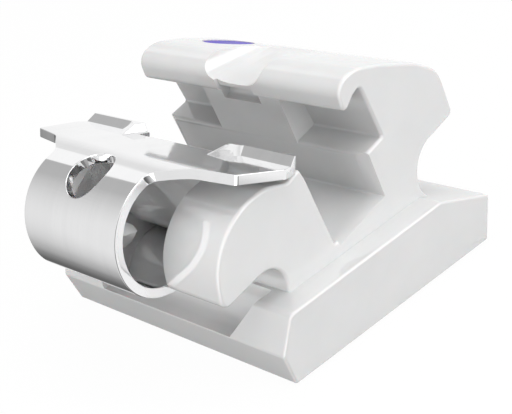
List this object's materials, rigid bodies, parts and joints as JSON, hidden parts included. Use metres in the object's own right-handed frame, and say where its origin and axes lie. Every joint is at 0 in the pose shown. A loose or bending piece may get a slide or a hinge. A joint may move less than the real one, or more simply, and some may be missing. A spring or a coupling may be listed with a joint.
{
  "type": "orthodontic bracket",
  "caption": "Tooth bracket with an archwire slot tilted between tie wings, hooked wings with clip pockets, and a rolled spring clip that slides over the slot.",
  "frame": {"origin": "middle of the bonding face", "axes": "+X along the archwire slot, +Y away from the gum side, +Z away from the tooth"},
  "size_m": [0.0026, 0.0031, 0.0019],
  "materials": {
    "ceramic": "glossy, slightly translucent white",
    "spring_alloy": "polished",
    "violet_paint": "thin matt paint"
  },
  "bodies": {
    "bracket": {"bracket_body": "ceramic", "id_mark": "violet_paint"},
    "clip": {"spring_clip": "spring_alloy"}
  },
  "joints": [
    {"name": "clip_slide", "type": "slide", "parent": "bracket", "child": "clip", "axis": [0, 0.9848, -0.1736], "range_m": [0, 0.00081]}
  ]
}
